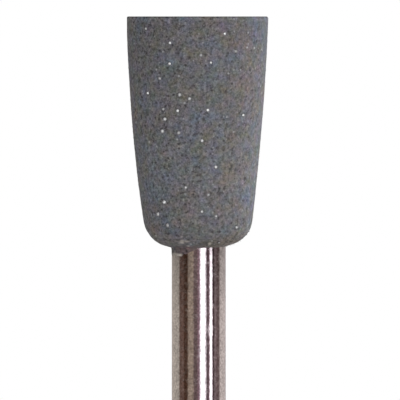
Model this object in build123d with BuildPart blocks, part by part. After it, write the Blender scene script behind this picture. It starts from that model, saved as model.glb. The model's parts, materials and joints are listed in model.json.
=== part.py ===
"""Dental polishing cup: an abrasive rubber cup moulded onto a straight steel mandrel.

The part stands on the cup's rim. Z runs up the mandrel's axis, and the origin is
the centre of the rim plane. Lengths are in millimetres and angles in degrees.
"""

import os
from math import radians, tan

from build123d import *

# Sizes of the mandrel
overall_length = 44.5
shank_diameter = 2.35
shank_end_chamfer = 0.35
shoulder_depth = 0.15
shoulder_step = 0.175
anchor_tip_chamfer = 0.25
ring_groove_count = 3
ring_groove_width = 0.5
ring_groove_depth = 0.25
flute_count = 12
flute_depth = 0.13
flute_runout = 0.4

# Sizes of the cup's outside
rim_diameter = 6.18
rim_edge_radius = 0.1
head_length = 10.03
side_bulge = 0.12
base_corner_diameter = 4.52
base_corner_radius = 1.27
base_cone_angle = 17.0

# Sizes of the cup's hollow working end
rim_width = 0.75
mouth_edge_radius = 0.06
recess_depth = 3.2
recess_roof_diameter = 2.6
recess_roof_radius = 0.9
web_thickness = 1.85

# Sizes of the film of rubber that crept along the shank in the mould
film_root_thickness = 0.09
film_lip_thickness = 0.03
film_root_depth = 0.1
film_low_height = 0.05
film_high_height = 0.3
film_ramp_width = 0.5

# Radii and heights that follow from the sizes
shank_radius = shank_diameter / 2
anchor_radius = shank_radius - shoulder_step
rim_radius = rim_diameter / 2
base_corner_x = base_corner_diameter / 2
base_width = base_corner_x - shank_radius
base_corner_z = head_length - base_width * tan(radians(base_cone_angle))
mouth_radius = rim_radius - rim_width
shoulder_z = head_length - shoulder_depth
anchor_tip_z = recess_depth + web_thickness
anchor_length = shoulder_z - anchor_tip_z
ring_groove_pitch = anchor_length / (ring_groove_count + 1)


# Mandrel: a ground shank whose lower end is grooved and fluted to grip the rubber
with BuildPart() as mandrel:
    with BuildSketch(Plane.XZ):
        with BuildLine():
            Polyline(
                (0, anchor_tip_z),
                (anchor_radius, anchor_tip_z),
                (anchor_radius, shoulder_z),
                (shank_radius, shoulder_z),
                (shank_radius, overall_length),
                (0, overall_length),
                close=True,
            )
        make_face()
    revolve(axis=Axis.Z)
    shank_end = mandrel.faces().sort_by(Axis.Z)[-1]
    anchor_tip = mandrel.faces().sort_by(Axis.Z)[0]
    chamfer(shank_end.edges(), length=shank_end_chamfer)
    chamfer(anchor_tip.edges(), length=anchor_tip_chamfer)

    # Ring grooves spread evenly along the anchor, against pulling out
    with BuildSketch(Plane.XZ):
        for groove_number in range(1, ring_groove_count + 1):
            groove_z = anchor_tip_z + groove_number * ring_groove_pitch
            with Locations((anchor_radius, groove_z)):
                Rectangle(2 * ring_groove_depth, ring_groove_width)
    revolve(axis=Axis.Z, mode=Mode.SUBTRACT)

    # V flutes along the anchor, against turning in the rubber
    with BuildSketch(Plane.XY.offset(anchor_tip_z)):
        with PolarLocations(anchor_radius, flute_count):
            RegularPolygon(radius=flute_depth, side_count=4)
    extrude(amount=anchor_length - flute_runout, mode=Mode.SUBTRACT)


# Film: a thin tapering sleeve round the shank that climbs higher on the +X side
film_root_z = head_length - film_root_depth
film_low_z = head_length + film_low_height
film_high_z = head_length + film_high_height
film_cut_reach = 2 * (shank_radius + film_root_thickness)
with BuildPart() as film:
    with BuildSketch(Plane.XZ):
        with BuildLine():
            Polyline(
                (0, film_root_z),
                (shank_radius + film_root_thickness, film_root_z),
                (shank_radius + film_lip_thickness, film_high_z),
                (0, film_high_z),
                close=True,
            )
        make_face()
    revolve(axis=Axis.Z)
    with BuildSketch(Plane.XZ):
        with BuildLine():
            Polyline(
                (-film_cut_reach, film_low_z),
                (0, film_low_z),
                (film_ramp_width, film_high_z),
                (film_ramp_width, film_high_z + film_cut_reach),
                (-film_cut_reach, film_high_z + film_cut_reach),
                close=True,
            )
        make_face()
    extrude(amount=film_cut_reach, both=True, mode=Mode.SUBTRACT)


# Cup: one moulding of abrasive rubber, hollow at the rim, closed round the anchor
with BuildPart() as cup:
    with BuildSketch(Plane.XZ) as outside:
        with BuildLine():
            side = Bezier(
                (rim_radius, 0),
                ((rim_radius + base_corner_x) / 2 + 2 * side_bulge, base_corner_z / 2),
                (base_corner_x, base_corner_z),
            )
            Polyline(
                side @ 1,
                (shank_radius, head_length),
                (0, head_length),
                (0, 0),
                side @ 0,
            )
        make_face()
        base_corner = outside.vertices().sort_by_distance((base_corner_x, base_corner_z))[0]
        widest_base_radius = base_width * tan(radians(45 + base_cone_angle / 2))
        fillet(base_corner, radius=min(base_corner_radius, widest_base_radius))
        rim_corner = outside.vertices().sort_by_distance((rim_radius, 0))[0]
        fillet(rim_corner, radius=rim_edge_radius)
    revolve(axis=Axis.Z)

    # Bell-shaped recess that holds the paste and lets the rim flex
    with BuildSketch(Plane.XZ) as recess:
        with BuildLine():
            Polyline(
                (0, 0),
                (mouth_radius, 0),
                (recess_roof_diameter / 2, recess_depth),
                (0, recess_depth),
                close=True,
            )
        make_face()
        roof_corner = recess.vertices().sort_by_distance(
            (recess_roof_diameter / 2, recess_depth)
        )[0]
        fillet(roof_corner, radius=recess_roof_radius)
    revolve(axis=Axis.Z, mode=Mode.SUBTRACT)
    mouth_edge = cup.edges().group_by(Axis.Z)[0].sort_by(SortBy.RADIUS)[0]
    fillet(mouth_edge, radius=mouth_edge_radius)

    # The rubber was moulded round the mandrel, so its bore is the mandrel's own shape
    add(film.part)
    add(mandrel.part, mode=Mode.SUBTRACT)


cup.part.label = "abrasive_cup"
mandrel.part.label = "mandrel"

os.makedirs("parts", exist_ok=True)
export_step(cup.part, "parts/abrasive_cup.step")
export_step(mandrel.part, "parts/mandrel.step")
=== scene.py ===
"""Looks of a dental polishing cup: abrasive rubber on a ground steel mandrel.

The part stands on the cup's rim at the origin and Z runs up the mandrel's axis.
Sizes are in millimetres and angles in degrees, and MM turns a size into metres.
The camera looks along +Y with the part upside down, so the view's right is -X.
"""

import json
import random
from math import ceil, cos, dist, exp, pi, radians, sin, sqrt, tan

import bmesh
import bpy
import numpy as np
from mathutils import Matrix, Quaternion, Vector, kdtree, noise


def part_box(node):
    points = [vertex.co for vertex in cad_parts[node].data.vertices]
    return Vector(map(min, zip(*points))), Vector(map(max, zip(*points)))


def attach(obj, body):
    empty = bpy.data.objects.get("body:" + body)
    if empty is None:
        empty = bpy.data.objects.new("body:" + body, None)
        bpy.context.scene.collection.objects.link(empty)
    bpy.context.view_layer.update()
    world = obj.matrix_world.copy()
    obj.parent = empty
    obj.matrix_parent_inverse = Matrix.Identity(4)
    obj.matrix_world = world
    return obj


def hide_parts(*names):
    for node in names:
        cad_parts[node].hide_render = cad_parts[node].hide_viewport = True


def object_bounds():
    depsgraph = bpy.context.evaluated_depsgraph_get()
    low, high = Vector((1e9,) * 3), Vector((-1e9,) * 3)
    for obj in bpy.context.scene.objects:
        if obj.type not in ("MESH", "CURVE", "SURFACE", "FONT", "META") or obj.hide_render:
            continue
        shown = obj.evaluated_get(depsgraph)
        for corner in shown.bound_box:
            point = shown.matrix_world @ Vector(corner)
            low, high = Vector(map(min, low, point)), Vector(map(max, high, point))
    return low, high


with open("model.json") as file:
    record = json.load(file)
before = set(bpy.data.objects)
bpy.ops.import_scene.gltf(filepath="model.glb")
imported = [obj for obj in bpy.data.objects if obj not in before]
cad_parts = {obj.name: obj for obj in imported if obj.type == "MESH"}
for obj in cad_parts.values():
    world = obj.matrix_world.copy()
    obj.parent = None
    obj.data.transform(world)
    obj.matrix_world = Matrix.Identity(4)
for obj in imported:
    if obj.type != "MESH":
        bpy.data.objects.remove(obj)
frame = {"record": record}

MM = 0.001
scene = bpy.context.scene
cad_low, cad_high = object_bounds()
box_low, box_high = (np.array(corner) / MM for corner in (cad_low, cad_high))
mandrel_low, mandrel_high = (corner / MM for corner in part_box("mandrel"))

# Sizes of the solids that the detailed pieces stand for
overall_length = mandrel_high.z
shank_radius = mandrel_high.x
shank_end_chamfer = 0.35
head_length = 10.03
shoulder_depth = 0.15
anchor_radius = 1.0
anchor_tip_z = mandrel_low.z
anchor_tip_chamfer = 0.25
ring_groove_count = 3
ring_groove_width = 0.5
ring_groove_depth = 0.25
flute_count = 12
flute_depth = 0.13
flute_runout = 0.4
rim_radius = 3.09
rim_edge_radius = 0.1
side_bulge = 0.12
base_corner = (2.26, 9.698)
base_corner_radius = 1.27
mouth_radius = 2.34
mouth_edge_radius = 0.06
recess_depth = 3.2
recess_roof_radius = 1.3
recess_roof_rounding = 0.9
shoulder_z = head_length - shoulder_depth
flute_top_z = shoulder_z - flute_runout

# Film of rubber on the shank: its wall, and its height by the angle from +X
film_root_thickness = 0.03
film_lip_thickness = 0.008
film_taper = 4.0
film_front_angles = (0, 38, 50, 54, 58, 64, 73, 81, 89, 180)
film_front_heights = (0.30, 0.34, 0.35, 0.32, 0.27, 0.24, 0.155, 0.095, 0.0, 0.0)
film_back_angles = (0, 40, 66, 88, 104, 180)
film_back_heights = (0.30, 0.26, 0.20, 0.10, 0.01, 0.0)

# Gap that keeps the rubber's mesh off the steel's
bore_clearance = 0.003

# Ragged lip of the film: two waves, each with its radius and slice in the noise, how far
# the coarse one moves the lip, how low it can go, and the fine one's share of the height
film_coarse_wave = (5, 3.7)
film_fine_wave = (14, 8.1)
film_coarse_swing = 0.02
film_coarse_least = -0.4
film_fine_share = 0.15

# Fineness of the turned meshes
cup_segments = 300
mandrel_segments = 192
outside_spacing = 0.056
recess_spacing = 0.11
film_rows = 9
anchor_spacing = 0.26
shank_spacing = 0.6
sharp_angle = 38

# Relief of the abrasive rubber: how far its grain and its swells move the skin, their
# size, how the grain's octaves fade and shrink, their number, and the pits cut into it
grain_swing = 0.007
grain_size = 0.17
grain_octaves = (1.0, 2.0, 3)
swell_swing = 0.004
swell_size = 1.1
pit_count = 1500
pit_radii = (0.05, 0.10)
pit_depth = 0.032
relief_seed = 11

# The moulding isn't quite true: its middle in x at some heights, the mandrel's own
# middle, and how much the base rises a millimetre towards +X, once its tilt has set in
middle_heights = (0.0, 5.0, 7.2, 9.1, 9.4, 10.03)
middle_places = (0.027, 0.037, 0.027, -0.004, -0.034, -0.035)
mandrel_middle = -0.035
base_tilt = 0.025
tilt_start_z = 8.8
tilt_end_z = 9.6

# Pale dust on the front of the film and the base, partly a painted highlight where the film's lip
# and the base by the shank catch light: middle in x and z, half width, half height and strength.
# Its edge is steep and ends at the reach, counted in half widths.
dust_and_highlight_spots = (
    (0.80, 10.35, 0.13, 0.055, 1.0),
    (1.00, 10.33, 0.18, 0.06, 0.55),
    (0.69, 9.745, 0.10, 0.085, 0.65),
    (0.50, 9.72, 0.13, 0.05, 0.4),
    (-0.51, 9.83, 0.07, 0.055, 0.6),
    (0.42, 9.94, 0.06, 0.04, 0.45),
    (0.71, 9.52, 0.06, 0.035, 0.35),
    (1.30, 9.55, 0.50, 0.09, 0.09),
)
dust_and_highlight_steepness = 1.6
dust_and_highlight_reach = 1.3

# Lighter and darker patches on the front: middle in x and z, half width, half height and change.
# Some are the rubber's own uneven tone, and some are painted shade: the darker band across the
# base by the shank, the darker -X side by the rim, and the dark spot beside a dust flake, which is
# its painted shadow.
tone_and_shade_patches = (
    (-2.25, 0.7, 0.75, 1.0, -0.10),
    (1.5, 6.5, 0.8, 1.0, 0.13),
    (-1.2, 6.4, 1.6, 1.0, 0.08),
    (2.6, 2.0, 0.6, 1.0, -0.07),
    (-0.85, 2.0, 0.6, 1.0, 0.05),
    (-1.05, 6.0, 0.4, 4.0, 0.025),
    (2.3, 8.4, 0.4, 1.0, -0.07),
    (-1.9, 8.4, 0.4, 0.8, -0.05),
    (0.3, 9.35, 2.2, 0.25, -0.10),
    (1.2, 9.32, 1.0, 0.15, -0.10),
    (-1.75, 9.3, 0.4, 0.3, -0.09),
    (-1.8, 9.7, 0.3, 0.12, -0.12),
    (-0.2, 9.8, 0.4, 0.12, -0.10),
    (-0.40, 9.80, 0.08, 0.09, -0.40),
    (0.95, 10.1, 0.25, 0.08, -0.25),
)

# How far in front of the axis a patch has its full strength
front_depth = 0.6

# Warmer and cooler regions: their size, and by what share at most red grows and blue
# shrinks, or the other way round
warm_size = 1.3
warm_swing = 0.14

# Stain that the moulding left on the base, with painted shade in it, stronger towards -X and
# growing up towards the shank, and on the film round one middle in x
base_stain_and_shade = 0.6
base_stain_and_shade_lean = 0.25
base_stain_and_shade_start_z = 9.3
base_stain_and_shade_end_z = 9.8
film_stain = 0.7
film_stain_middle = 0.45
film_stain_reach = 0.6

# How dust with its painted highlight, and stains, waver: their mean level, how far noise moves it,
# and its features a millimetre
waver_level = 0.9
dust_and_highlight_waver = (0.4, 9)
stain_waver = (0.5, 6)

# Grit that the rubber holds: how deep a crystal sits and how far its corners reach, both
# as shares of its radius
grit_count = 2600
grit_radii = (0.012, 0.026)
grit_sunk_share = 0.3
grit_corner_reach = (0.75, 1)
grit_seed = 5

# Grains with a flat top that mirrors a bright card of the tent, at one azimuth, to the
# camera. They are drawn at random: how many, between which heights, how far to each side
# as a share of the cup's radius, their radius, and how much the top's middle mirrors.
glint_count = 30
glint_heights = (0.5, 9.5)
glint_side_share = 0.75
glint_radii = (0.07, 0.11)
glint_shines = (0.25, 1)
glint_seed = 28
glint_azimuth = 15.5
glint_sides = 6

# How far a glint stands out: where its top lies flat on the skin, and more, as a share of
# its radius, where the top is turned from it. Then its foot's radius and depth as shares,
# and the rounds in which its place is worked out.
glint_height = 0.01
glint_turned_share = 0.5
glint_foot_share = 1.2
glint_depth_share = 0.6
aiming_rounds = 4

# Colours as the slots of the record have them, and those that vary them
rubber_colour, steel_colour = (
    tuple(entry["base_color"]) + (1,) for entry in frame["record"]["materials"]
)
# Painted shade that darkens pores and pits
pore_shade_colour = (0.035, 0.031, 0.033, 1)
speck_colour = (0.33, 0.33, 0.34, 1)
# Dust, partly a painted highlight
dust_and_highlight_colour = (0.52, 0.475, 0.42, 1)
# The base's stain, partly painted shade
base_stain_and_shade_colour = (0.100, 0.086, 0.068, 1)
film_stain_colour = (0.135, 0.085, 0.088, 1)
crystal_colour = (0.36, 0.36, 0.37, 1)
grit_colour = (0.2, 0.2, 0.21, 1)
glint_colour = (0.50, 0.54, 0.48, 1)

# Textures of the rubber. A noise has its features a millimetre, detail and roughness.
# Shades and other ranges have the two values they are mapped from and the two they give.
# A bump has its strength and depth. The tint is noise times its swing plus its level.
tint_noise = (2.0, 2.0, 0.6)
tint_swing = (0.65, 0.05, 0.95)
tint_level = (0.665, 0.982, 0.535)
grain_noise = (7.0, 3.0, 0.7)
grain_shades = (0.28, 0.72, 0.42, 1.58)
grain_roughness = (0.3, 0.7, 0.76, 0.9)
fine_grain_noise = (15.0, 1.0, 0.5)
fine_grain_shades = (0.25, 0.75, 0.7, 1.3)
rim_shades = (0.08, 0.26, 1.27, 1)
rubber_bump = (0.7, 0.02)
rubber_specular = 0.3

# The grain is calmer on one side: two places in x, and the share of contrast at each
calm_range = (-2.6, 0.2, 0.76, 1.04)

# Round spots in the rubber: cells a millimetre, how far from its middle a spot starts to
# fade and is gone, in cells, and the share of cells with none. A few more have faint ones.
# Pores are spots of painted shade, for pits smaller than the mesh
pore_shade_spots = (3.6, 0.08, 0.26, 0.3)
speck_spots = (4.7, 0.06, 0.22, 0.5)
crystal_spots = (3.3, 0.07, 0.21, 0.66)
faint_share = 0.3
pore_shade_strength = 0.9
speck_strength = 0.7

# Textures of the steel, by the same rules
blotch_noise = (3.2, 5.0, 0.85)
blotch_shades = (0.3, 0.7, 0.70, 1.28)
freckle_noise = (11.0, 1.0, 0.5)
freckle_shades = (0.3, 0.7, 0.8, 1.2)
haze_noise = (3.0, 3.0, 0.6)
haze_roughness = (0.48, 0.72, 0.05, 0.23)
dull_noise = (6.0, 2.0, 0.6)
dull_range = (0.42, 0.68, 0, 1)
dull_by_cup = (0, 1, 0.05, 0.09)
dent_noise = (4.5, 2.0, 0.5)
line_noise = (1.0, 3.0, 0.6)
line_stretch = (1.2, 1.2, 16)
line_share = 0.4
ring_pitch = 0.09
ring_share = 0.1
steel_bump = (1.0, 0.004)

# Tarnish and painted shade by the cup: its fade up the shank, and its strength by how far off the
# middle
tarnish_and_shade_fade = (head_length + 0.2, head_length + 2.7, 1, 0)
tarnish_and_shade_on_sides = (0.2, 0.5, 0, 0.42)

# Textures of the crystals, by the same rules
grit_noise = (5.0, 1.0, 0.5)
grit_shades = (0.3, 0.7, 0.6, 1.6)
grit_roughness = 0.2
grit_ior = 2.1
glint_noise = (30.0, 1.0, 0.5)
glint_roughness = (0.3, 0.7, 0.02, 0.06)

# Camera: the picture's width at the axis, and what lies in its middle
view_distance = 290.0
view_width = 17.407
view_middle = Vector((-0.089, 0, 7.985))
camera_place = Vector((view_middle.x, -view_distance, 0))
sensor_width = 36.0
near_clip = 10.0
far_clip = 10000.0

# Light tent that only gloss reflects: each card's first and last azimuth to the right of
# the camera, its brightness and its tint. Between two heights the tints fade to a share.
tent_radius = 110.0
tent_height = 200.0
tent_inner_radius = 4.0
tent_lift = 0.02
tent_tint_heights = (30.0, 60.0)
tent_top_tint = 0.25
tent_columns = 720
blush = (1.0, 0.93, 1.05)
straw = (1.09, 0.99, 0.91)
ash = (1.11, 0.99, 0.99)
sand = (1.26, 1.0, 0.84)
brown = (1.42, 0.88, 0.74)
umber = (1.60, 0.82, 0.55)
rose = (1.30, 0.89, 0.93)
plum = (1.36, 0.82, 1.04)
wine = (1.45, 0.80, 0.95)
mauve = (1.22, 0.91, 1.0)
tent_cards = (
    (-180, -173, 1.6, ash),
    (-169, -165, 0.06, brown),
    (-160, -94, 0.49, straw),
    (-89, -80, 0.110, brown),
    (-76, -68, 0.122, brown),
    (-64.5, -50.5, 0.053, umber),
    (-43.5, -25, 0.32, sand),
    (-20, -7, 0.133, rose),
    (-4, 2.2, 0.215, plum),
    (6.5, 7.5, 1.25, blush),
    (10.5, 24, 3.0, blush),
    (28.5, 29.5, 1.2, blush),
    (34.5, 40.5, 0.105, plum),
    (44, 45.5, 0.18, plum),
    (51.5, 57, 3.0, blush),
    (61, 67, 0.042, wine),
    (72, 78, 0.22, mauve),
    (83, 95.5, 0.128, rose),
    (105, 118, 0.65, ash),
    (124, 153, 0.62, ash),
    (161, 166, 0.06, plum),
    (171, 180, 1.6, ash),
)

# Soft light: the sky's share, and each lamp's azimuth, elevation and share
white = (1, 1, 1, 1)
sky_share = 0.715
lamps = {
    "lamp_front": (15, 10, 0.14),
    "lamp_right": (53, 10, 0.20),
    "lamp_back": (120, 8, 0.9),
}
lamp_distance = 350.0
lamp_size = 120.0

# Floor, with a hole under the cup that the rim covers, so that sky reaches the recess
floor_radii = (200.0, 40.0, 8.0, rim_radius - rim_edge_radius)
floor_segments = 96
floor_colour = (0.8, 0.8, 0.8, 1)
floor_lift = 0.2


# Paths in the plane of radius and height

def straight_run(start, end, spacing):
    """Points from start up to, but without, end."""
    count = max(1, ceil(dist(start, end) / spacing))
    return [tuple(Vector(start).lerp(Vector(end), i / count)) for i in range(count)]


def bent_run(start, control, end, spacing):
    """Points of a quadratic curve from start up to, but without, end."""
    count = max(1, ceil(dist(start, end) / spacing))
    start, control, end = Vector(start), Vector(control), Vector(end)
    shares = [i / count for i in range(count)]
    return [tuple(start.lerp(control, t).lerp(control.lerp(end, t), t)) for t in shares]


def rounded_corner(before, corner, after, radius, spacing):
    """Points of the arc that rounds a corner between two straight neighbours."""
    corner = Vector(corner)
    back = (Vector(before) - corner).normalized()
    ahead = (Vector(after) - corner).normalized()
    half_angle = back.angle(ahead) / 2
    first = corner + back * radius / tan(half_angle)
    centre = corner + (back + ahead).normalized() * radius / sin(half_angle)
    turn = pi - 2 * half_angle
    if back.x * ahead.y - back.y * ahead.x > 0:
        turn = -turn
    count = max(3, ceil(radius * abs(turn) / spacing))
    arm = first - centre
    turned_arms = [Matrix.Rotation(turn * i / count, 2) @ arm for i in range(count + 1)]
    return [tuple(centre + turned) for turned in turned_arms]


def cornered_path(corners, spacing):
    """Points along straight runs between sharp corners, the last corner included."""
    points = []
    for start, end in zip(corners, corners[1:]):
        points += straight_run(start, end, spacing)
    return points + [corners[-1]]


def anchor_path():
    """The mandrel's half outline in the rubber, from its tip to the shank."""
    pitch = (shoulder_z - anchor_tip_z) / (ring_groove_count + 1)
    groove_radius = anchor_radius - ring_groove_depth
    corners = [
        (anchor_radius - anchor_tip_chamfer, anchor_tip_z),
        (anchor_radius, anchor_tip_z + anchor_tip_chamfer),
    ]
    for groove_number in range(1, ring_groove_count + 1):
        groove_low = anchor_tip_z + groove_number * pitch - ring_groove_width / 2
        groove_high = groove_low + ring_groove_width
        corners += [
            (anchor_radius, groove_low),
            (groove_radius, groove_low),
            (groove_radius, groove_high),
            (anchor_radius, groove_high),
        ]
    corners += [(anchor_radius, shoulder_z), (shank_radius, shoulder_z)]
    return cornered_path(corners, anchor_spacing)


def shank_path():
    """The mandrel's half outline from the shoulder to the chamfered end."""
    corners = [
        (shank_radius, shoulder_z),
        (shank_radius, overall_length - shank_end_chamfer),
        (shank_radius - shank_end_chamfer, overall_length),
    ]
    return cornered_path(corners, shank_spacing)


def recess_path():
    """From the middle of the recess's roof, down its wall, to the edge of its mouth."""
    roof_corner = (recess_roof_radius, recess_depth)
    mouth = (mouth_radius, 0)
    roof_arc = rounded_corner(
        (0, recess_depth), roof_corner, mouth, recess_roof_rounding, recess_spacing
    )
    mouth_arc = rounded_corner(
        roof_corner, mouth, (rim_radius, 0), mouth_edge_radius, recess_spacing
    )
    roof = straight_run((recess_spacing, recess_depth), roof_arc[0], recess_spacing)
    wall = straight_run(roof_arc[-1], mouth_arc[0], recess_spacing)
    return roof + roof_arc[:-1] + wall + mouth_arc


def outside_path(start):
    """From the point after start on the rim, up the side, and over the base to the film."""
    rim_corner = (rim_radius, 0)
    side_control = ((rim_radius + base_corner[0]) / 2 + 2 * side_bulge, base_corner[1] / 2)
    base_end = (shank_radius, head_length)
    film_root_radius = shank_radius + film_root_thickness
    base_share = (base_corner[0] - film_root_radius) / (base_corner[0] - shank_radius)
    film_start = tuple(Vector(base_corner).lerp(Vector(base_end), base_share))
    rim_arc = rounded_corner(
        start, rim_corner, side_control, rim_edge_radius, outside_spacing / 2
    )
    base_arc = rounded_corner(
        side_control, base_corner, base_end, base_corner_radius, outside_spacing
    )
    flat = straight_run(start, rim_arc[0], outside_spacing)
    side = bent_run(rim_arc[-1], side_control, base_arc[0], outside_spacing)
    base = straight_run(base_arc[-1], film_start, outside_spacing)
    return flat[1:] + rim_arc[:-1] + side + base_arc[:-1] + base + [film_start]


def outward_normals(path):
    """Unit normals on the right-hand side of a path, one for each point."""
    steps = np.gradient(np.array(path), axis=0)
    normals = np.stack([steps[:, 1], -steps[:, 0]], axis=1)
    return normals / np.linalg.norm(normals, axis=1, keepdims=True)


def fluted_radius(radius, z, angle):
    """The mandrel's radius where a V flute may cut it."""
    if z > flute_top_z or radius > anchor_radius:
        return radius
    flute_pitch = 2 * pi / flute_count
    off_middle = (angle + flute_pitch / 2) % flute_pitch - flute_pitch / 2
    return min(radius, (anchor_radius - flute_depth) / (cos(off_middle) - abs(sin(off_middle))))


# Meshes

def angles_round(count):
    """Angles of a turned mesh's columns, in radians."""
    return 2 * pi * np.arange(count) / count


def at_angle(radius, angle, z):
    """The place at a radius and an angle from +X round the Z axis, and a height."""
    return Vector((radius * cos(angle), radius * sin(angle), z))


def ring_quads(ring_count, column_count):
    """Faces that join each ring of points to the one that follows it."""
    quads = []
    for here in range(0, (ring_count - 1) * column_count, column_count):
        above = here + column_count
        for column in range(column_count):
            beside = (column + 1) % column_count
            quads.append((here + column, here + beside, above + beside, above + column))
    return quads


def new_mesh(name, points, faces):
    """A mesh from its points in metres and its faces."""
    mesh = bpy.data.meshes.new(name)
    mesh.from_pydata(points, [], faces)
    return mesh


def turned_mesh(name, radii, heights, middles, first_pole_z, last_pole_z):
    """A closed mesh from rows of radii and heights, with a point at each end.

    radii and heights hold a row for each step along the path and a column for each angle,
    middles holds each row's middle in x, and the path has the solid on its left.
    """
    row_count, column_count = radii.shape
    angles = angles_round(column_count)
    across = radii * np.cos(angles) + np.reshape(middles, (-1, 1))
    rings = np.stack([across, radii * np.sin(angles), heights], axis=2)
    rings = rings.clip(box_low, box_high)
    poles = [(middles[0], 0, first_pole_z), (middles[-1], 0, last_pole_z)]
    points = np.concatenate([rings.reshape(-1, 3), poles])
    first_pole = row_count * column_count
    last_row = first_pole - column_count
    faces = ring_quads(row_count, column_count)
    for column in range(column_count):
        beside = (column + 1) % column_count
        faces.append((first_pole, beside, column))
        faces.append((first_pole + 1, last_row + column, last_row + beside))
    mesh = new_mesh(name, (points * MM).tolist(), faces)
    mesh.shade_smooth()
    mesh.set_sharp_from_angle(angle=radians(sharp_angle))
    return mesh


def add_object(mesh, material):
    """Puts a mesh in the scene as an object of its name, with one material."""
    added = bpy.data.objects.new(mesh.name, mesh)
    scene.collection.objects.link(added)
    mesh.materials.append(material)
    return added


def add_piece(mesh, material, replaced=None):
    """Puts a mesh in the scene as a piece of the part that rides on its one body."""
    piece = add_object(mesh, material)
    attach(piece, "root")
    if replaced:
        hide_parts(replaced)


def store_attribute(mesh, name, values):
    """Keeps one number for each vertex, for the material to read."""
    attribute = mesh.attributes.new(name, "FLOAT", "POINT")
    attribute.data.foreach_set("value", np.asarray(values, np.float32))


# Places on the cup

def middle_at(z):
    """Where the moulding's middle lies in x at a height."""
    return np.interp(z, middle_heights, middle_places)


def inside_box(place, margin):
    """The place moved, where it has to be, to lie inside the CAD box by a margin."""
    return Vector(np.clip(place, box_low + margin, box_high - margin))


def random_rows(chance, skin, count):
    """Rows of the skin drawn at random, the longer ones more often."""
    row_weights = [radius for radius, _ in skin]
    return chance.choices(range(len(skin)), row_weights, k=count)


def smooth_step(low, high, value):
    """0 up to the low edge, 1 from the high edge on, and a smooth rise between them."""
    share = min(1, max(0, (value - low) / (high - low)))
    return share * share * (3 - 2 * share)


def relief_depth(place):
    """How deep the rubber's grain and swells cut in at a place on the cup."""
    grain = noise.fractal(place / grain_size, *grain_octaves)
    swell = noise.noise(place / swell_size)
    return grain_swing * max(-1, min(1, grain)) + swell_swing * swell


def skin_relief(skin):
    """How deep the relief is, and from 0 to 1 its pits, for each row of the skin and angle."""
    chance = random.Random(relief_seed)
    pits = kdtree.KDTree(pit_count)
    pit_reaches = []
    for i, row in enumerate(random_rows(chance, skin, pit_count)):
        radius, z = skin[row]
        pits.insert(at_angle(radius, chance.uniform(0, 2 * pi), z), i)
        pit_reaches.append(chance.uniform(*pit_radii))
    pits.balance()

    depths, pores = np.zeros((2, len(skin), cup_segments))
    for row, (radius, z) in enumerate(skin):
        for column, angle in enumerate(angles_round(cup_segments)):
            place = at_angle(radius, angle, z)
            _, nearest, distance = pits.find(place)
            pores[row, column] = max(0.0, 1 - (distance / pit_reaches[nearest]) ** 2) ** 2
            depths[row, column] = relief_depth(place) + pit_depth * pores[row, column]
    return depths, pores


def film_height(angle):
    """How far the film's ragged lip stands above the base, at an angle from +X to +Y."""
    turned = (np.degrees(angle) + 180) % 360 - 180
    if turned < 0:
        smooth = np.interp(-turned, film_front_angles, film_front_heights)
    else:
        smooth = np.interp(turned, film_back_angles, film_back_heights)
    coarse, fine = (
        noise.noise(at_angle(reach, angle, slice_z))
        for reach, slice_z in (film_coarse_wave, film_fine_wave)
    )
    ragged = film_coarse_swing * max(film_coarse_least, coarse)
    return smooth * (1 + film_fine_share * fine) + ragged


def wavering(place, swing, per_mm):
    """A share that noise moves a little from place to place."""
    return waver_level + swing * noise.noise(place * per_mm)


def tone_and_shade_at(place):
    """How light the rubber is, about 1: soft patches on its front, partly painted shade."""
    total = 0.0
    for x, z, half_width, half_height, change in tone_and_shade_patches:
        off_middle = ((place.x - x) / half_width) ** 2 + ((place.z - z) / half_height) ** 2
        total += change * exp(-off_middle)
    return 1 + total * smooth_step(0, front_depth, -place.y)


def warmth_at(place):
    """How warm the rubber's colour is at a place on the cup, about 0."""
    return warm_swing * noise.noise(place / warm_size)


def dust_and_highlight_at(place):
    """How much pale dust and painted highlight lie at a place on the cup, from 0 to about 1."""
    if place.y > 0 or place.z < base_corner[1] - base_corner_radius:
        return 0
    amount = 0
    for x, z, half_width, half_height, strength in dust_and_highlight_spots:
        off_middle = Vector(((place.x - x) / half_width, (place.z - z) / half_height)).length
        share = min(1, dust_and_highlight_steepness * (1 - off_middle / dust_and_highlight_reach))
        amount = max(amount, strength * share)
    return max(0, amount) * wavering(place, *dust_and_highlight_waver)


def base_stain_and_shade_at(place):
    """How strong the base's stain and painted shade are at a place on the cup, from 0 to about 1.
    """
    on_base = base_stain_and_shade * smooth_step(base_stain_and_shade_start_z, base_stain_and_shade_end_z, place.z)
    leaned = max(0, min(1, on_base * (1 - base_stain_and_shade_lean * place.x)))
    return leaned * wavering(place, *stain_waver)


def film_stain_at(place):
    """How strong the stain on the film is at a place on the cup, from 0 to about 1."""
    off_middle = (place.x - film_stain_middle) / film_stain_reach
    on_film = film_stain * smooth_step(shoulder_z, head_length, place.z)
    return on_film * max(0, 1 - off_middle ** 2) * wavering(place, *stain_waver)


# Pieces of the part

def paint_cup(mesh, pores):
    """Keeps what the rubber's material reads: pits for painted shade, placed tones and stains."""
    # The pits' values let the material paint shade in them
    all_pit_shades = np.zeros(len(mesh.vertices))
    all_pit_shades[: pores.size] = pores.ravel()
    store_attribute(mesh, "pit_shade", all_pit_shades)
    places = [vertex.co / MM for vertex in mesh.vertices]
    # Tone is partly painted shade, dust partly a painted highlight, the base's stain partly
    # painted shade
    for name, measure in (
        ("tone", tone_and_shade_at),
        ("warmth", warmth_at),
        ("dust_and_highlight", dust_and_highlight_at),
        ("base_stain_and_shade", base_stain_and_shade_at),
        ("film_stain", film_stain_at),
    ):
        store_attribute(mesh, name, [measure(place) for place in places])


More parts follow.
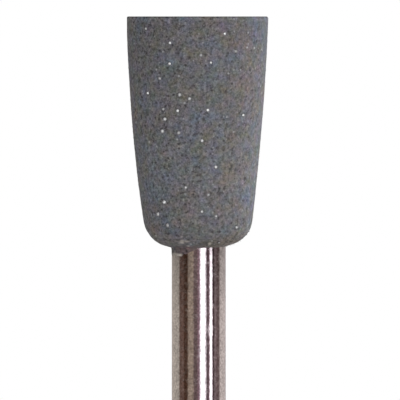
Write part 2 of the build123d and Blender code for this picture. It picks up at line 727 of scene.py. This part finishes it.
def cup_mesh(skin, normals, depths, pores):
    """The cup's skin with its relief and its film, and the bore round the mandrel's anchor."""
    path = np.array(skin)
    angles = angles_round(cup_segments)
    middles = list(middle_at(path[:, 1]))
    tilts = [base_tilt * smooth_step(tilt_start_z, tilt_end_z, z) for _, z in skin]
    radii = path[:, :1] - normals[:, :1] * depths
    heights = path[:, 1:] - normals[:, 1:] * depths + np.outer(tilts, np.cos(angles)) * radii
    radii, heights = list(radii), list(heights)

    # The film thins towards its lip
    lips = np.array([film_height(angle) for angle in angles])
    lips += head_length + base_tilt * shank_radius * np.cos(angles)
    root_radii, root_heights = radii[-1], heights[-1]
    lip_radius = shank_radius + film_lip_thickness
    for i in range(1, film_rows + 1):
        share = i / film_rows
        heights.append(root_heights + (lips - root_heights) * share)
        radii.append(lip_radius + (root_radii - lip_radius) * (1 - share) ** film_taper)
    heights.append(lips)
    radii.append(np.full(cup_segments, shank_radius + bore_clearance))

    # The bore follows the steel down to its tip
    bore_tip_z = anchor_tip_z - bore_clearance
    for radius, z in reversed(anchor_path()):
        steel_radii = np.array([fluted_radius(radius, z, angle) for angle in angles])
        radii.append(steel_radii + bore_clearance)
        heights.append(np.full(cup_segments, bore_tip_z if z == anchor_tip_z else z))
    middles += [mandrel_middle] * (len(radii) - len(middles))
    radii, heights = np.array(radii), np.array(heights)
    mesh = turned_mesh("cup_rubber", radii, heights, middles, recess_depth, bore_tip_z)
    paint_cup(mesh, pores)
    return mesh


def mandrel_mesh():
    """The ground shank and the fluted anchor inside the rubber."""
    path = anchor_path()[:-1] + shank_path()
    angles = angles_round(mandrel_segments)
    radii = np.array([[fluted_radius(radius, z, angle) for angle in angles] for radius, z in path])
    heights = np.repeat([[z] for _, z in path], mandrel_segments, axis=1)
    middles = [mandrel_middle] * len(path)
    return turned_mesh("mandrel_steel", radii, heights, middles, anchor_tip_z, overall_length)


def crystal_shape():
    """Points and triangles of a cube with cut corners, about the origin."""
    shape = bmesh.new()
    for long_axis in range(3):
        for first in (-1, 1):
            for second in (-1, 1):
                corner = [first, second]
                corner.insert(long_axis, 0)
                shape.verts.new(Vector(corner).normalized())
    bmesh.ops.convex_hull(shape, input=shape.verts)
    bmesh.ops.recalc_face_normals(shape, faces=shape.faces)
    shape.verts.index_update()
    points = [vertex.co.copy() for vertex in shape.verts]
    faces = [[vertex.index for vertex in face.verts] for face in shape.faces]
    shape.free()
    return points, faces


def grit_mesh(skin, normals, depths):
    """Small crystals that stand a little out of the rubber's skin."""
    chance = random.Random(grit_seed)
    shape_points, shape_faces = crystal_shape()
    points, faces = [], []
    for row in random_rows(chance, skin, grit_count):
        column = chance.randrange(cup_segments)
        angle = 2 * pi * column / cup_segments
        size = chance.uniform(*grit_radii)
        sunk = depths[row, column] + grit_sunk_share * size
        radius, z = np.array(skin[row]) - normals[row] * sunk
        x = radius * cos(angle) + middle_at(z)
        middle = inside_box((x, radius * sin(angle), z), size)
        spin = Quaternion([chance.gauss(0, 1) for _ in range(4)]).normalized()
        faces += [[len(points) + i for i in face] for face in shape_faces]
        for corner in shape_points:
            reach = spin @ corner * size * chance.uniform(*grit_corner_reach)
            points.append((middle + reach) * MM)
    return new_mesh("abrasive_grit", points, faces)


def compass(azimuth, elevation=0):
    """Direction from the part, by the azimuth to the right of the camera and the elevation."""
    turned, raised = radians(azimuth), radians(elevation)
    return Vector((-sin(turned) * cos(raised), -cos(turned) * cos(raised), sin(raised)))


def front_point(seen_x, seen_z, outside):
    """The place on the cup's front that hides a point of the plane through the axis."""
    radii, heights = np.transpose(outside)
    y = 0.0
    for _ in range(aiming_rounds):
        nearer = 1 + y / view_distance
        x, z = seen_x * nearer, seen_z * nearer
        y = -sqrt(max(0.0, np.interp(z, heights, radii) ** 2 - (x - middle_at(z)) ** 2))
    return Vector((x, y, z))


def glint_top(seen_x, seen_z, radius, outside):
    """The middle of a glint's top, and the turn that makes an upright glint mirror the card."""
    place = front_point(seen_x, seen_z, outside)

    # It mirrors the card as high above itself as it is above the camera
    card = compass(glint_azimuth) * tent_radius + Vector((0, 0, 2 * place.z))
    to_camera = (camera_place - place).normalized()
    to_card = (card - place).normalized()
    facing = (to_camera + to_card).normalized()

    # It stands out further where it is turned from the skin
    arm = Vector((place.x - middle_at(place.z), place.y, 0))
    turned = facing.cross(arm.normalized()).length
    proud = glint_height + glint_turned_share * radius * turned
    top = place + facing * (proud - relief_depth(arm + Vector((0, 0, place.z))))
    return top, Vector((0, 0, 1)).rotation_difference(facing)


def glint_faces(middle):
    """Faces of one glint, whose top ring and foot ring follow the point in its middle."""
    top_ring = middle + 1
    foot_ring = top_ring + glint_sides
    faces = []
    for side in range(glint_sides):
        beside = (side + 1) % glint_sides
        faces.append([middle, top_ring + side, top_ring + beside])
        faces.append([top_ring + side, foot_ring + side, foot_ring + beside, top_ring + beside])
    faces.append([foot_ring + side for side in reversed(range(glint_sides))])
    return faces


def random_glints(outside):
    """The x and z that each glint seems to have, its radius and its shine."""
    chance = random.Random(glint_seed)
    radii, heights = np.transpose(outside)
    glints = []
    for _ in range(glint_count):
        z = chance.uniform(*glint_heights)
        reach = glint_side_share * np.interp(z, heights, radii)
        x = middle_at(z) + chance.uniform(-reach, reach)
        glints.append((x, z, chance.uniform(*glint_radii), chance.uniform(*glint_shines)))
    return glints


def glint_mesh(outside):
    """Grains with a flat top that mirrors a bright card of the tent to the camera."""
    chance = random.Random(grit_seed)
    points, faces, shines = [], [], []
    for seen_x, seen_z, radius, shine in random_glints(outside):
        top, aim = glint_top(seen_x, seen_z, radius, outside)
        spin = chance.uniform(0, pi)
        faces += glint_faces(len(points))
        shines += [shine] + [0] * (2 * glint_sides)
        corners = [Vector()]
        foot = (glint_foot_share * radius, -glint_depth_share * radius)
        for ring_radius, z in ((radius, 0), foot):
            for side in range(glint_sides):
                corners.append(at_angle(ring_radius, spin + side * 2 * pi / glint_sides, z))
        points += [inside_box(top + aim @ corner, 0) * MM for corner in corners]
    mesh = new_mesh("glinting_grains", points, faces)
    store_attribute(mesh, "shine", shines)
    return mesh


# Nodes that the materials share

def add_node(tree, kind, inputs=(), **settings):
    """Adds a shader node. inputs gives each socket's value, or the socket that feeds it."""
    node = tree.nodes.new(kind)
    for name, value in settings.items():
        setattr(node, name, value)
    for socket, value in dict(inputs).items():
        if isinstance(value, bpy.types.NodeSocket):
            tree.links.new(value, node.inputs[socket])
        else:
            node.inputs[socket].default_value = value
    return node


def combined(tree, operation, first, second=0):
    """Two numbers put together by one sum, or one number changed by it."""
    return add_node(tree, "ShaderNodeMath", {0: first, 1: second}, operation=operation).outputs[0]


def product(tree, first, *others):
    """Numbers multiplied together."""
    for other in others:
        first = combined(tree, "MULTIPLY", first, other)
    return first


def vector_sum(tree, operation, *vectors):
    """Vectors or colours put together by one sum."""
    inputs = dict(enumerate(vectors))
    return add_node(tree, "ShaderNodeVectorMath", inputs, operation=operation).outputs[0]


def scaled(tree, vector, share):
    """A vector or colour times a number."""
    inputs = {0: vector, "Scale": share}
    return add_node(tree, "ShaderNodeVectorMath", inputs, operation="SCALE").outputs[0]


def mapped(tree, value, from_low, from_high, to_low, to_high):
    """A value moved from one range to another, and kept inside it."""
    inputs = {0: value, 1: from_low, 2: from_high, 3: to_low, 4: to_high}
    return add_node(tree, "ShaderNodeMapRange", inputs).outputs[0]


def attribute_value(tree, name):
    """The number that a mesh keeps for each vertex under a name."""
    return add_node(tree, "ShaderNodeAttribute", attribute_name=name).outputs["Fac"]


def noise_node(tree, place, per_mm, detail, roughness):
    """Noise with features of about 1 / per_mm millimetres."""
    inputs = {"Vector": place, "Scale": per_mm, "Detail": detail, "Roughness": roughness}
    return add_node(tree, "ShaderNodeTexNoise", inputs)


def noise_value(tree, place, settings):
    """One number from noise."""
    return noise_node(tree, place, *settings).outputs[0]


def scattered_spots(tree, place, per_mm, core, edge, bare):
    """Round spots that fade from core to edge. bare is the share of cells with none."""
    cells = add_node(tree, "ShaderNodeTexVoronoi", {"Vector": place, "Scale": per_mm})
    spot = mapped(tree, cells.outputs["Distance"], core, edge, 1, 0)
    lot = add_node(tree, "ShaderNodeSeparateColor", {0: cells.outputs["Color"]}).outputs[0]
    strength = mapped(tree, lot, bare, min(1, bare + faint_share), 0, 1)
    return product(tree, spot, strength)


def colour_mix(tree, share, first, second):
    """The second colour over the first one."""
    node = tree.nodes.new("ShaderNodeMix")
    node.data_type = "RGBA"
    sockets = {socket.identifier: socket for socket in node.inputs}
    tree.links.new(share, sockets["Factor_Float"])
    tree.links.new(first, sockets["A_Color"])
    sockets["B_Color"].default_value = second
    return next(socket for socket in node.outputs if socket.identifier == "Result_Color")


def shader_mix(tree, share, first, second):
    """The second shader over the first one."""
    inputs = {0: share, 1: first.outputs[0], 2: second.outputs[0]}
    return add_node(tree, "ShaderNodeMixShader", inputs)


def bumped_normal(tree, relief, strength, depth):
    """Normals that a relief tilts. depth is in millimetres."""
    inputs = {"Strength": strength, "Distance": depth * MM, "Height": relief}
    return add_node(tree, "ShaderNodeBump", inputs).outputs[0]


def new_material(name):
    """A material and its empty node tree."""
    material = bpy.data.materials.new(name)
    material.use_nodes = True
    material.node_tree.nodes.clear()
    return material, material.node_tree


def part_place(tree):
    """The place on the part in millimetres."""
    return scaled(tree, add_node(tree, "ShaderNodeTexCoord").outputs["Object"], 1 / MM)


def add_surface(tree, plain_colour, inputs):
    """Ends a material in a Principled shader. plain_colour is for a view without nodes."""
    shader = add_node(tree, "ShaderNodeBsdfPrincipled", inputs)
    shader.inputs["Base Color"].default_value = plain_colour
    add_node(tree, "ShaderNodeOutputMaterial", {"Surface": shader.outputs[0]})


# Materials

def rubber_tint(tree, place):
    """The rubber's colour before its shade: random tints and two stains, one with painted shade.
    """
    patches = noise_node(tree, place, *tint_noise).outputs["Color"]
    tint = vector_sum(tree, "MULTIPLY_ADD", patches, tint_swing, tint_level)
    warmth = attribute_value(tree, "warmth")
    warmed = vector_sum(tree, "MULTIPLY_ADD", warmth, (1, 0, -1), (1, 1, 1))
    tint = vector_sum(tree, "MULTIPLY", tint, warmed)
    tinted = vector_sum(tree, "MULTIPLY", tint, rubber_colour[:3])
    # The base's stain darkens partly as painted shade
    stained_and_shaded = colour_mix(tree, attribute_value(tree, "base_stain_and_shade"), tinted, base_stain_and_shade_colour)
    return colour_mix(tree, attribute_value(tree, "film_stain"), stained_and_shaded, film_stain_colour)


def rubber_shade(tree, place, grain, calm, height):
    """How light the rubber is: grain round 1, the rim's paler edge, placed patches, partly painted
    shade.
    """
    coarse_shade = mapped(tree, grain, *grain_shades)
    fine_shade = mapped(tree, noise_value(tree, place, fine_grain_noise), *fine_grain_shades)
    contrast = combined(tree, "SUBTRACT", product(tree, coarse_shade, fine_shade), 1)
    grained = combined(tree, "ADD", product(tree, contrast, calm), 1)
    by_rim = mapped(tree, height, *rim_shades)
    # The tone attribute is partly painted shade
    return product(tree, grained, by_rim, attribute_value(tree, "tone"))


def rubber_material():
    """Gritty grey rubber: tints, grain, painted shade in pores, pale specks, dust, painted
    highlight.
    """
    material, tree = new_material("abrasive_rubber")
    place = part_place(tree)
    parts = add_node(tree, "ShaderNodeSeparateXYZ", {0: place}).outputs
    calm = mapped(tree, parts["X"], *calm_range)
    grain = noise_value(tree, place, grain_noise)
    shade = rubber_shade(tree, place, grain, calm, parts["Z"])
    colour = scaled(tree, rubber_tint(tree, place), shade)

    # Spots and dust over it: painted shade in pores and pits, dust partly painted highlight
    pores = scattered_spots(tree, place, *pore_shade_spots)
    pore_shade = combined(tree, "MAXIMUM", attribute_value(tree, "pit_shade"), pores)
    pore_shade = product(tree, pore_shade, pore_shade_strength, calm)
    specks = product(tree, scattered_spots(tree, place, *speck_spots), speck_strength, calm)
    crystals = scattered_spots(tree, place, *crystal_spots)
    colour = colour_mix(tree, pore_shade, colour, pore_shade_colour)
    colour = colour_mix(tree, specks, colour, speck_colour)
    colour = colour_mix(tree, crystals, colour, crystal_colour)
    colour = colour_mix(tree, attribute_value(tree, "dust_and_highlight"), colour, dust_and_highlight_colour)

    surface = {
        "Base Color": colour,
        "Roughness": mapped(tree, grain, *grain_roughness),
        "Specular IOR Level": rubber_specular,
        "Normal": bumped_normal(tree, grain, *rubber_bump),
    }
    add_surface(tree, rubber_colour, surface)
    return material


def steel_relief(tree, place):
    """Dents, lines of the grinding round the shank, and rings about the axis on its end."""
    dents = noise_value(tree, place, dent_noise)
    stretched = vector_sum(tree, "MULTIPLY", place, line_stretch)
    lines = product(tree, noise_value(tree, stretched, line_noise), line_share)
    flat_place = vector_sum(tree, "MULTIPLY", place, (1, 1, 0))
    off_axis = add_node(tree, "ShaderNodeVectorMath", {0: flat_place}, operation="LENGTH")
    turns = product(tree, off_axis.outputs["Value"], 2 * pi / ring_pitch)
    rings = product(tree, combined(tree, "SINE", turns), ring_share)
    return combined(tree, "ADD", dents, combined(tree, "ADD", lines, rings))


def steel_material():
    """Ground steel: blotches, tarnish and painted shade by the cup, haze, dull specks and its fine
    relief.
    """
    material, tree = new_material("polished_steel")
    place = part_place(tree)
    parts = add_node(tree, "ShaderNodeSeparateXYZ", {0: place}).outputs
    # How near the cup, for its tarnish, painted shade and dull specks
    by_cup = mapped(tree, parts["Z"], *tarnish_and_shade_fade)

    # Blotches, and tarnish with painted shade on the sides of the shank by the cup
    blotches = mapped(tree, noise_value(tree, place, blotch_noise), *blotch_shades)
    freckles = mapped(tree, noise_value(tree, place, freckle_noise), *freckle_shades)
    off_middle = combined(tree, "SUBTRACT", parts["X"], mandrel_middle)
    off_middle = combined(tree, "ABSOLUTE", off_middle)
    on_sides = mapped(tree, off_middle, *tarnish_and_shade_on_sides)
    untarnished_and_unshaded = combined(tree, "SUBTRACT", 1, product(tree, by_cup, on_sides))
    shade = product(tree, blotches, freckles, untarnished_and_unshaded)

    # Dull specks, more of them by the cup
    specks = mapped(tree, noise_value(tree, place, dull_noise), *dull_range)
    dull = product(tree, specks, mapped(tree, by_cup, *dull_by_cup))

    surface = {
        "Base Color": scaled(tree, steel_colour[:3], shade),
        "Metallic": combined(tree, "SUBTRACT", 1, dull),
        "Roughness": mapped(tree, noise_value(tree, place, haze_noise), *haze_roughness),
        "Normal": bumped_normal(tree, steel_relief(tree, place), *steel_bump),
    }
    add_surface(tree, steel_colour, surface)
    return material


def grit_material():
    """Glassy grey crystals, lighter and darker from grain to grain."""
    material, tree = new_material("grit_crystal")
    place = part_place(tree)
    shade = mapped(tree, noise_value(tree, place, grit_noise), *grit_shades)
    colour = scaled(tree, grit_colour[:3], shade)
    surface = {"Base Color": colour, "Roughness": grit_roughness, "IOR": grit_ior}
    add_surface(tree, grit_colour, surface)
    return material


def glint_material():
    """Crystals that mirror in the middle of their top and are as matt as rubber round it."""
    material, tree = new_material("glint_crystal")
    place = part_place(tree)
    shade = mapped(tree, noise_value(tree, place, grain_noise), *grain_shades)
    matt = scaled(tree, rubber_colour[:3], shade)
    shine = attribute_value(tree, "shine")
    surface = {
        "Base Color": colour_mix(tree, shine, matt, glint_colour),
        "Metallic": shine,
        "Roughness": mapped(tree, noise_value(tree, place, glint_noise), *glint_roughness),
        "Specular IOR Level": 0.0,
    }
    add_surface(tree, glint_colour, surface)
    return material


# Stage

def seen_ray(tree):
    """1 for the rays that show the white background: camera, glossy and transmission rays."""
    rays = add_node(tree, "ShaderNodeLightPath").outputs
    shown = combined(tree, "MAXIMUM", rays["Is Camera Ray"], rays["Is Glossy Ray"])
    return combined(tree, "MAXIMUM", shown, rays["Is Transmission Ray"])


def make_world():
    """White where it is seen, and soft light from all sides on what is matt."""
    scene.world = bpy.data.worlds.new("studio")
    scene.world.use_nodes = True
    tree = scene.world.node_tree
    tree.nodes.clear()
    light = add_node(tree, "ShaderNodeBackground", {"Color": white, "Strength": sky_share})
    seen = add_node(tree, "ShaderNodeBackground", {"Color": white, "Strength": 1})
    both = shader_mix(tree, seen_ray(tree), light, seen)
    add_node(tree, "ShaderNodeOutputWorld", {"Surface": both.outputs[0]})


def floor_material():
    """Pale and a little lifted where it is seen, and clear to a camera below it."""
    material, tree = new_material("floor_pale")
    matt = add_node(tree, "ShaderNodeBsdfDiffuse", {"Color": floor_colour})
    lift = add_node(tree, "ShaderNodeEmission", {"Color": white, "Strength": floor_lift})
    lifted = add_node(tree, "ShaderNodeAddShader", {0: matt.outputs[0], 1: lift.outputs[0]})
    shown = shader_mix(tree, seen_ray(tree), matt, lifted)
    camera_ray = add_node(tree, "ShaderNodeLightPath").outputs["Is Camera Ray"]
    underside = add_node(tree, "ShaderNodeNewGeometry").outputs["Backfacing"]
    clear = add_node(tree, "ShaderNodeBsdfTransparent")
    surface = shader_mix(tree, product(tree, camera_ray, underside), shown, clear)
    add_node(tree, "ShaderNodeOutputMaterial", {"Surface": surface.outputs[0]})
    return material


def make_floor():
    """A pale disc that keeps the part's shadow and doesn't hide the rim from below."""
    points = [
        (radius * MM * cos(angle), radius * MM * sin(angle), 0)
        for radius in floor_radii
        for angle in angles_round(floor_segments)
    ]
    mesh = new_mesh("floor", points, ring_quads(len(floor_radii), floor_segments))
    floor = add_object(mesh, floor_material())


def tent_material():
    """Light of the cards' colours."""
    material, tree = new_material("tent_cards")
    tone = add_node(tree, "ShaderNodeAttribute", attribute_name="light").outputs["Color"]
    glow = add_node(tree, "ShaderNodeEmission", {"Color": tone, "Strength": 1})
    add_node(tree, "ShaderNodeOutputMaterial", {"Surface": glow.outputs[0]})
    material.cycles.emission_sampling = "NONE"
    return material


def tent_mesh():
    """The cards, their image on the table and their ends overhead, with colours to glow in."""
    azimuths = np.linspace(-180, 180, tent_columns, endpoint=False)
    stops, tones = [], []
    for first, last, brightness, tint in tent_cards:
        stops += [first, last]
        tones += [np.array(tint) * brightness] * 2
    channels = [np.interp(azimuths, stops, channel) for channel in np.transpose(tones)]
    colours = np.stack(channels, axis=1)
    greys = colours.mean(axis=1, keepdims=True)
    rings = (
        (tent_inner_radius, tent_lift, 1),
        (tent_radius, tent_lift, 1),
        (tent_radius, tent_tint_heights[0], 1),
        (tent_radius, tent_tint_heights[1], tent_top_tint),
        (tent_radius, tent_height, tent_top_tint),
        (tent_inner_radius, tent_height, tent_top_tint),
    )
    points, ring_colours = [], []
    for radius, z, tint_share in rings:
        lift = Vector((0, 0, z))
        points += [(compass(azimuth) * radius + lift) * MM for azimuth in azimuths]
        ring_colours.append(greys + (colours - greys) * tint_share)
    mesh = new_mesh("tent", points, ring_quads(len(rings), tent_columns))
    light = mesh.attributes.new("light", "FLOAT_COLOR", "POINT")
    opaque = np.insert(np.concatenate(ring_colours), 3, 1, axis=1)
    light.data.foreach_set("color", opaque.ravel().astype(np.float32))
    return mesh


def make_tent():
    """Light and dark cards round the part that show in gloss alone."""
    tent = add_object(tent_mesh(), tent_material())
    tent.visible_camera = False
    tent.visible_diffuse = False
    tent.visible_transmission = False
    tent.visible_volume_scatter = False
    tent.visible_shadow = False


def make_lamps():
    """Soft lamps, each of which gives its share of light to a surface that faces it."""
    for name, (azimuth, elevation, share) in lamps.items():
        data = bpy.data.lights.new(name, "AREA")
        data.shape = "DISK"
        data.size = lamp_size * MM
        data.energy = share * (pi * lamp_distance * MM) ** 2
        lamp = bpy.data.objects.new(name, data)
        lamp.location = compass(azimuth, elevation) * lamp_distance * MM
        lamp.rotation_mode = "QUATERNION"
        lamp.rotation_quaternion = lamp.location.to_track_quat("Z", "Y")
        lamp.visible_camera = False
        lamp.visible_glossy = False
        scene.collection.objects.link(lamp)


def make_camera():
    """The camera at the rim's level, upside down."""
    data = bpy.data.cameras.new("camera")
    data.sensor_width = sensor_width
    data.lens = sensor_width * (view_middle - camera_place).length / view_width
    data.clip_start = near_clip * MM
    data.clip_end = far_clip * MM
    camera = bpy.data.objects.new("camera", data)
    ahead = (view_middle - camera_place).normalized()
    right = ahead.cross(Vector((0, 0, -1))).normalized()
    up = right.cross(ahead)
    turn = Matrix((right, up, -ahead)).transposed().to_4x4()
    camera.matrix_world = Matrix.Translation(camera_place * MM) @ turn
    scene.collection.objects.link(camera)
    scene.camera = camera


# The part
recess = recess_path()
outside = outside_path(recess[-1])
skin = recess + outside
normals = outward_normals(skin)
depths, pores = skin_relief(skin)
cup = cup_mesh(skin, normals, depths, pores)
add_piece(cup, rubber_material(), "abrasive_cup")
add_piece(mandrel_mesh(), steel_material(), "mandrel")
add_piece(grit_mesh(skin, normals, depths), grit_material())
add_piece(glint_mesh(outside), glint_material())

# What stands round it
make_camera()
make_world()
make_floor()
make_tent()
make_lamps()
scene.view_settings.view_transform = "Standard"
